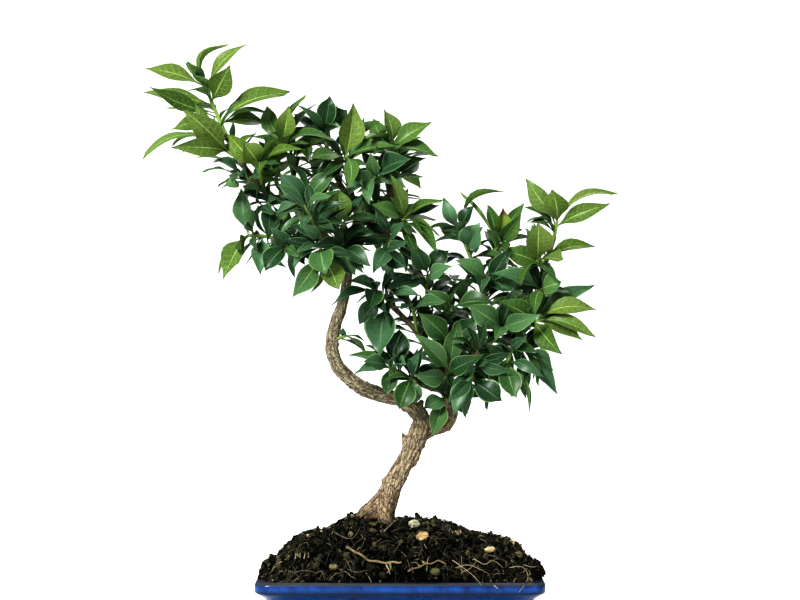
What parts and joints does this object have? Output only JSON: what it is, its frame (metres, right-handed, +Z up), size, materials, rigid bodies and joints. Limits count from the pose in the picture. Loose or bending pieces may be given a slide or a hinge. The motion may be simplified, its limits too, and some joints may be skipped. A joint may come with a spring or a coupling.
{
  "type": "potted bonsai tree",
  "caption": "Small leaning bonsai with an S-bent trunk, pointed glossy leaves in a two-part crown, in a low blue glazed rectangular pot.",
  "frame": {"origin": "middle of the whole part's bounding box, at the table the pot stands on", "axes": "+Z up, +X to the right and -Y towards the viewer as pictured; the pot's long side lies along X"},
  "size_m": [0.306, 0.141, 0.3881],
  "materials": {
    "glazed_ceramic": "cobalt glaze, glossy and mottled",
    "drain_mesh": "moulded",
    "live_wood": "rough furrowed bark",
    "peat_soil": "loose dark peat",
    "bare_root": "dry",
    "bark_chip": "dry, broken",
    "pebble": "matt",
    "young_leaf": "soft gloss",
    "mature_leaf": "waxy gloss"
  },
  "bodies": {
    "root": {"pot": "glazed_ceramic", "drain_mesh_left": "drain_mesh", "drain_mesh_right": "drain_mesh", "trunk": "live_wood", "soil": "peat_soil", "surface_root_left": "bare_root", "surface_root_right": "bare_root", "bark_chip_pale": "bark_chip", "bark_chip_tan": "bark_chip", "bark_chip_small": "bark_chip", "pebble_left": "pebble", "pebble_right": "pebble", "shoot_top_left": "young_leaf", "shoot_left_upper": "young_leaf", "shoot_left_mid": "mature_leaf", "shoot_left_low": "mature_leaf", "shoot_left_bend": "mature_leaf", "shoot_left_drop": "mature_leaf", "shoot_low_front": "mature_leaf", "shoot_centre_round": "mature_leaf", "shoot_low_mid": "mature_leaf", "shoot_low_right": "mature_leaf", "shoot_over_left": "young_leaf", "shoot_top_broad": "young_leaf", "shoot_top_dark": "mature_leaf", "shoot_top_middle": "young_leaf", "shoot_top_right": "young_leaf", "shoot_upper_right": "mature_leaf", "shoot_right_shoulder": "young_leaf", "shoot_inner_left": "mature_leaf", "shoot_gap_left": "mature_leaf", "shoot_mid_high": "mature_leaf", "shoot_mid_withered": "young_leaf", "shoot_right_top": "young_leaf", "shoot_right_upper": "young_leaf", "shoot_right_rosette": "young_leaf", "shoot_right_inner": "young_leaf", "shoot_right_hang": "mature_leaf", "shoot_right_low_round": "mature_leaf", "shoot_low_dark": "mature_leaf", "shoot_low_hang": "mature_leaf", "shoot_mid_big": "mature_leaf", "shoot_mid_pale": "mature_leaf", "shoot_mid_dark": "mature_leaf", "shoot_mid_back": "mature_leaf", "shoot_mid_core": "mature_leaf", "shoot_right_core": "mature_leaf", "shoot_right_front_core": "mature_leaf", "shoot_cross_left": "mature_leaf", "shoot_cross_right": "mature_leaf", "shoot_bend_twig": "mature_leaf", "shoot_back_top": "young_leaf", "shoot_back_left": "young_leaf", "shoot_back_low": "mature_leaf", "shoot_back_right_top": "young_leaf", "shoot_back_right": "mature_leaf", "shoot_front_left": "mature_leaf", "shoot_back_low_right": "mature_leaf", "shoot_back_far_right": "young_leaf", "shoot_back_under": "mature_leaf"}
  },
  "joints": []
}
